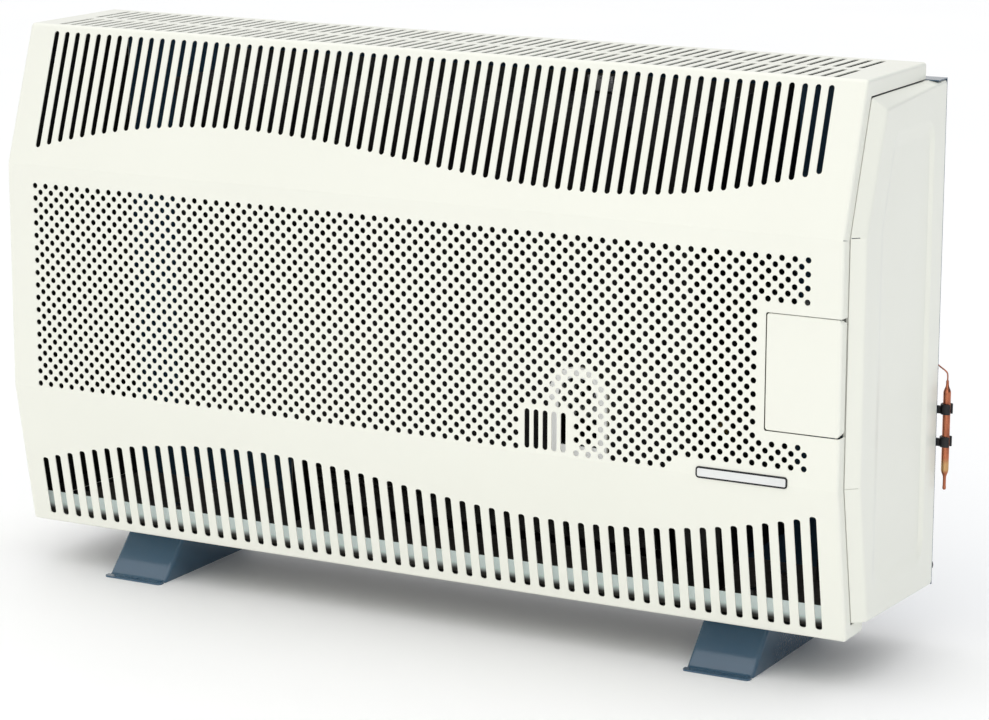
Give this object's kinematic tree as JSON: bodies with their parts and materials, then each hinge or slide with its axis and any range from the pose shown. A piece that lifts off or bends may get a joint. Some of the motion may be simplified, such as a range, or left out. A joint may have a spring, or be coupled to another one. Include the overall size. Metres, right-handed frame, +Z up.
{
  "type": "fan_convector_heater",
  "caption": "Wall-standing balanced-flue gas convector heater with fan, cream enamelled slotted hood, hinged control door and blue-grey feet",
  "frame": {"origin": "bottom centre of the whole object, pipes and thermostat bulb included", "axes": "+X to the viewer's right as seen from the front, +Y from the perforated front to the wall, +Z up"},
  "size_m": [1.0373, 0.2742, 0.619],
  "materials": {
    "cream_enamel": "gloss stoved enamel",
    "blue_enamel": "gloss stoved enamel",
    "galvanised": "spangled zinc coating",
    "chamber_black": "matt heat-resistant coating",
    "bright_steel": "plain bright steel",
    "valve_aluminium": "die cast",
    "brass": "turned",
    "copper_tube": "drawn copper, slightly tarnished",
    "black_plastic": "moulded, fine texture",
    "red_plastic": "moulded, smooth",
    "glass": "clear heat-resistant glass",
    "gasket": "woven mineral fibre",
    "white_ceramic": "glazed"
  },
  "bodies": {
    "casing": {"hood_top": "cream_enamel", "hood_top_rim": "cream_enamel", "hood_upper": "cream_enamel", "hood_middle_left": "cream_enamel", "hood_middle_right": "cream_enamel", "hood_door_surround": "cream_enamel", "hood_lower": "cream_enamel", "hood_lip": "cream_enamel", "hood_side_left": "cream_enamel", "hood_side_right": "cream_enamel", "hood_rail": "galvanised", "side_panel_left": "cream_enamel", "side_panel_right": "cream_enamel", "back_panel": "blue_enamel", "base_tray": "galvanised", "foot_left": "blue_enamel", "foot_right": "blue_enamel", "foot_screws": "bright_steel", "panel_screws": "bright_steel", "heat_shield": "chamber_black", "side_partition": "chamber_black", "combustion_chamber": "chamber_black", "exchanger_fins": "chamber_black", "window_frame": "cream_enamel", "window_glass": "glass", "window_gasket": "gasket", "burner": "bright_steel", "injector": "brass", "pilot_burner": "bright_steel", "thermocouple": "bright_steel", "spark_electrode": "white_ceramic", "air_collar": "galvanised", "flue_pipe": "bright_steel", "gas_valve": "valve_aluminium", "burner_pipe": "bright_steel", "gas_inlet": "bright_steel", "capillary": "copper_tube", "sensor_bulb": "copper_tube", "bulb_clips": "black_plastic", "control_housing": "black_plastic", "piezo_igniter": "black_plastic", "fan_switch": "black_plastic", "fan_housing": "galvanised", "fan_bearings": "brass", "fan_motor": "bright_steel", "fan_thermostat": "bright_steel", "terminal_block": "black_plastic", "cable_gland": "black_plastic", "door_hinge_pins": "bright_steel", "door_catch": "black_plastic", "badge": "black_plastic"},
    "door": {"control_door": "cream_enamel"},
    "spindle_carrier": {"spindle_collar": "brass"},
    "knob": {"valve_spindle": "bright_steel", "control_knob": "black_plastic"},
    "piezo": {"piezo_button": "red_plastic"},
    "rocker": {"fan_rocker": "black_plastic"},
    "fan_rotor": {"fan_impeller": "bright_steel", "fan_shaft": "bright_steel"}
  },
  "joints": [
    {"name": "door_hinge", "type": "hinge", "parent": "casing", "child": "door", "pos_m": [0.4862, -0.1289, 0.3303], "axis": [0, 0, 1], "range_deg": [0, 100]},
    {"name": "knob_push", "type": "slide", "parent": "casing", "child": "spindle_carrier", "axis": [0, 1, 0], "range_m": [0, 0.004], "stiffness_N_per_m": 1500},
    {"name": "knob_turn", "type": "hinge", "parent": "spindle_carrier", "child": "knob", "pos_m": [0.4472, -0.0959, 0.35], "axis": [0, 1, 0], "range_deg": [0, 250]},
    {"name": "piezo_push", "type": "slide", "parent": "casing", "child": "piezo", "axis": [0, 1, 0], "range_m": [0, 0.006], "stiffness_N_per_m": 1500},
    {"name": "fan_switch_rock", "type": "hinge", "parent": "casing", "child": "rocker", "pos_m": [0.4602, -0.0849, 0.298], "axis": [1, 0, 0], "range_deg": [0, 14]},
    {"name": "fan_turn", "type": "hinge", "parent": "casing", "child": "fan_rotor", "pos_m": [0.0442, -0.0239, 0.127], "axis": [1, 0, 0], "continuous": true}
  ]
}
